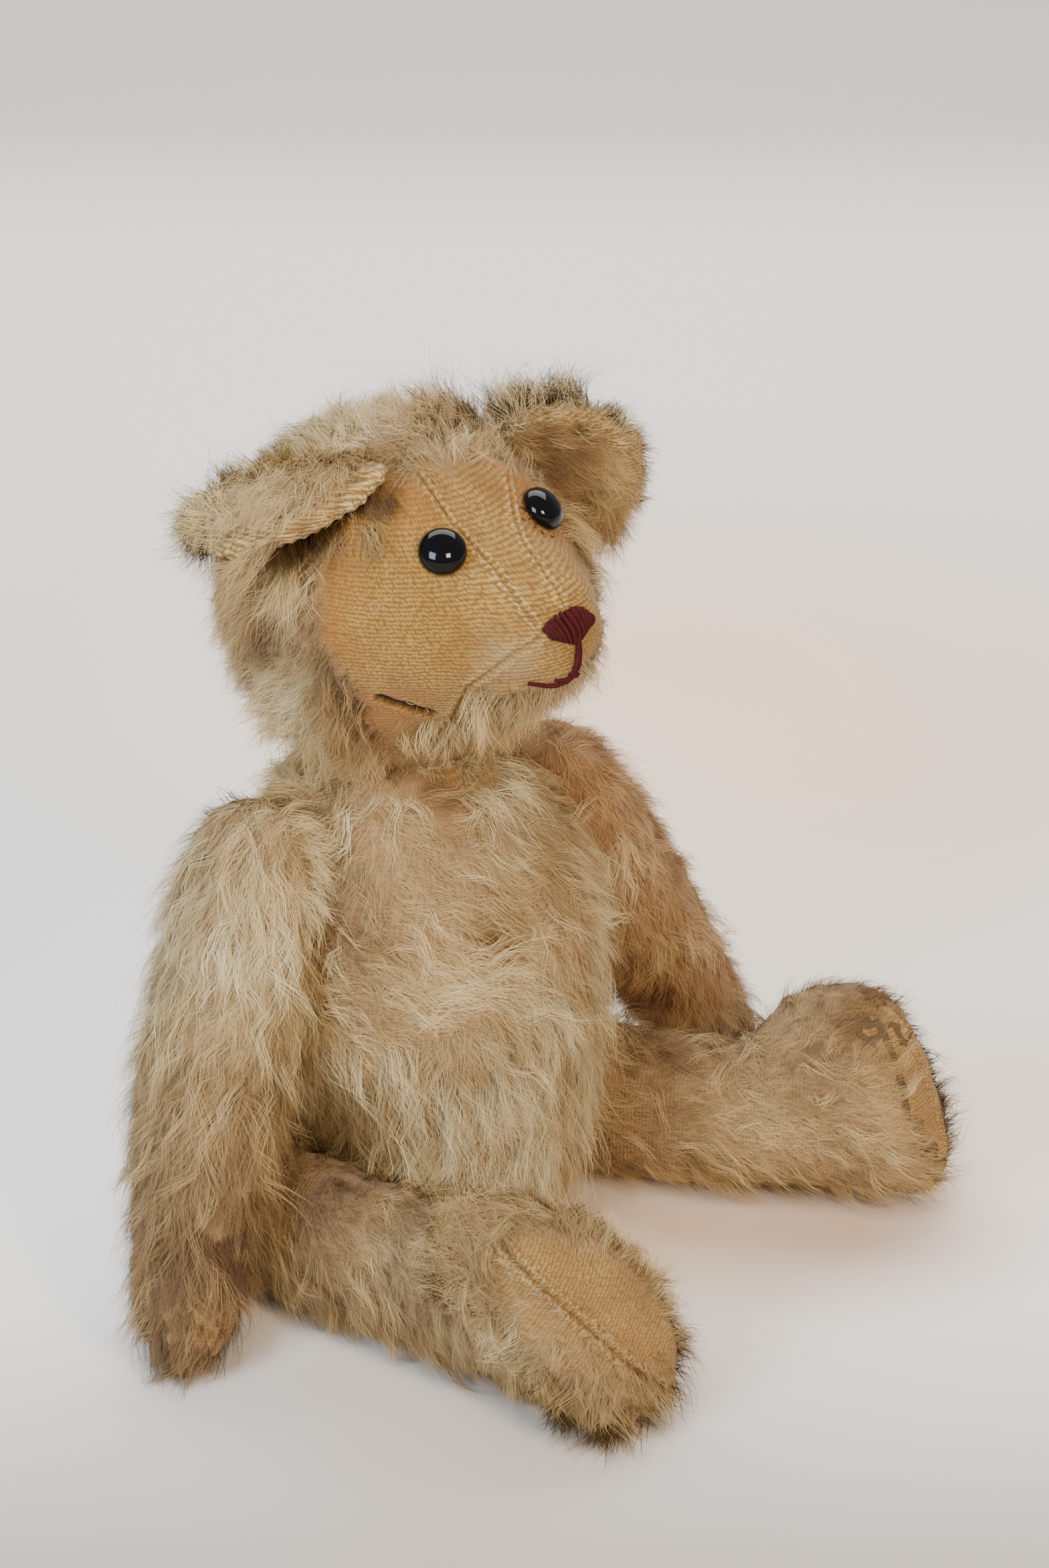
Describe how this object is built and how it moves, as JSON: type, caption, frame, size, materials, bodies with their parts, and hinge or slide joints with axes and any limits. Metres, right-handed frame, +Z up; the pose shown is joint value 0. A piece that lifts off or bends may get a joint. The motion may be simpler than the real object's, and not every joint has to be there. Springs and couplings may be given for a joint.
{
  "type": "jointed teddy bear",
  "caption": "Small old teddy bear of pale mohair plush, worn bare on face, soles and ears, sitting; head, arms and legs turn on card disc joints.",
  "frame": {"origin": "middle of the flat underside of the seat, where the sitting bear rests", "axes": "+Z up; the bear's body faces -Y; its left side is +X"},
  "size_m": [0.187, 0.1418, 0.1862],
  "materials": {
    "worn_mohair_plush": "pale mohair pile, worn to the straw-coloured backing in places",
    "wood_wool": "fine packed shavings",
    "pressed_card": "plain brown pressed card",
    "dull_steel": "dull, lightly tarnished",
    "black_button": "polished black",
    "dark_red_yarn": "matt twisted yarn"
  },
  "bodies": {
    "body": {"body_cover": "worn_mohair_plush", "body_stuffing": "wood_wool", "left_hip_inner_disc": "pressed_card", "left_hip_inner_washer": "dull_steel", "left_hip_pin": "dull_steel", "left_shoulder_inner_disc": "pressed_card", "left_shoulder_inner_washer": "dull_steel", "left_shoulder_pin": "dull_steel", "neck_inner_disc": "pressed_card", "neck_inner_washer": "dull_steel", "neck_pin": "dull_steel", "right_hip_inner_disc": "pressed_card", "right_hip_inner_washer": "dull_steel", "right_hip_pin": "dull_steel", "right_shoulder_inner_disc": "pressed_card", "right_shoulder_inner_washer": "dull_steel", "right_shoulder_pin": "dull_steel"},
    "head": {"head_cover": "worn_mohair_plush", "head_stuffing": "wood_wool", "left_ear": "worn_mohair_plush", "left_eye": "black_button", "left_eye_shank": "dull_steel", "left_mouth_stitch": "dark_red_yarn", "lip_stitch": "dark_red_yarn", "nose_stitching": "dark_red_yarn", "right_ear": "worn_mohair_plush", "right_eye": "black_button", "right_eye_shank": "dull_steel", "right_mouth_stitch": "dark_red_yarn", "neck_outer_disc": "pressed_card", "neck_outer_washer": "dull_steel"},
    "left_arm": {"left_arm_cover": "worn_mohair_plush", "left_arm_stuffing": "wood_wool", "left_shoulder_outer_disc": "pressed_card", "left_shoulder_outer_washer": "dull_steel"},
    "right_arm": {"right_arm_cover": "worn_mohair_plush", "right_arm_stuffing": "wood_wool", "right_shoulder_outer_disc": "pressed_card", "right_shoulder_outer_washer": "dull_steel"},
    "left_leg": {"left_leg_cover": "worn_mohair_plush", "left_leg_stuffing": "wood_wool", "left_hip_outer_disc": "pressed_card", "left_hip_outer_washer": "dull_steel"},
    "right_leg": {"right_leg_cover": "worn_mohair_plush", "right_leg_stuffing": "wood_wool", "right_hip_outer_disc": "pressed_card", "right_hip_outer_washer": "dull_steel"}
  },
  "joints": [
    {"name": "neck_joint", "type": "hinge", "parent": "body", "child": "head", "pos_m": [0.002, 0.0115, 0.113], "axis": [-0.0698, 0, 0.9976], "continuous": true},
    {"name": "left_shoulder_joint", "type": "hinge", "parent": "body", "child": "left_arm", "pos_m": [0.035, 0.008, 0.0865], "axis": [0.887, 0, 0.4617], "range_deg": [-16, 125]},
    {"name": "right_shoulder_joint", "type": "hinge", "parent": "body", "child": "right_arm", "pos_m": [-0.033, 0.006, 0.092], "axis": [0.9563, 0, -0.2924], "range_deg": [-123, 139]},
    {"name": "left_hip_joint", "type": "hinge", "parent": "body", "child": "left_leg", "pos_m": [0.0245, 0.0077, 0.0188], "axis": [-0.8192, -0.5736, 0], "range_deg": [-170, 30]},
    {"name": "right_hip_joint", "type": "hinge", "parent": "body", "child": "right_leg", "pos_m": [-0.0315, 0, 0.0195], "axis": [-0.9519, -0.273, -0.1392], "range_deg": [-170, 45]}
  ]
}
